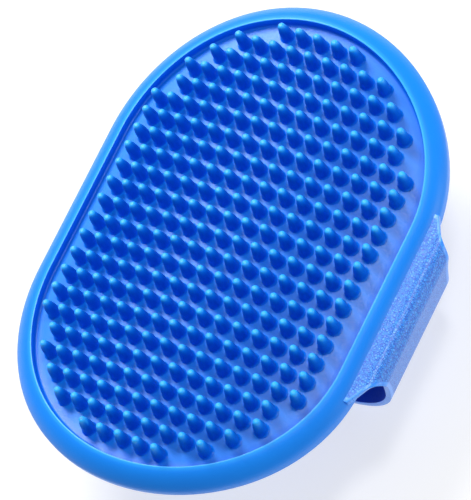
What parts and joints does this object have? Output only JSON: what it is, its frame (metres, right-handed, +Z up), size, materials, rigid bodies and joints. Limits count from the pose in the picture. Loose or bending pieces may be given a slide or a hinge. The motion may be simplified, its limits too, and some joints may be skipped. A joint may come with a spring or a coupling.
{
  "type": "grooming brush",
  "caption": "Palm-held rubber pet grooming brush: arched oval pad of soft moulded nubs with a raised rim and a grained hand strap closed by hook and loop tape.",
  "frame": {"origin": "centre of the footprint on the plane that the strap rests on, nubs up", "axes": "+Z up out of the nubbed face; +Y along the pad's long side; +X across it, towards the wing whose tab is underneath"},
  "size_m": [0.102, 0.1314, 0.0456],
  "materials": {
    "pad_rubber": "smooth satin moulded rubber, bright blue",
    "strap_rubber": "leather-grained satin rubber with a smooth edge band, bright blue",
    "hook_tape": "woven nylon tape with stiff hooks",
    "loop_tape": "napped nylon loop tape",
    "thread": "twisted polyester thread"
  },
  "bodies": {
    "pad": {"pad": "pad_rubber", "right_wing_root": "strap_rubber", "left_wing_root": "strap_rubber"},
    "right_wing": {"right_wing": "strap_rubber", "hook_tape": "hook_tape", "hook_tape_stitching": "thread"},
    "left_wing": {"left_wing": "strap_rubber", "loop_tape": "loop_tape", "loop_tape_stitching": "thread"}
  },
  "joints": [
    {"name": "right_wing_open", "type": "hinge", "parent": "pad", "child": "right_wing", "pos_m": [0.04985, 0, 0.02801], "axis": [0, -1, 0], "range_deg": [0, 110]},
    {"name": "left_wing_open", "type": "hinge", "parent": "pad", "child": "left_wing", "pos_m": [-0.0453, 0, 0.02761], "axis": [0, 1, 0], "range_deg": [0, 40]}
  ],
  "couplings": [
    {"joint": "left_wing_open", "follows": "right_wing_open", "ratio": 0.36}
  ]
}
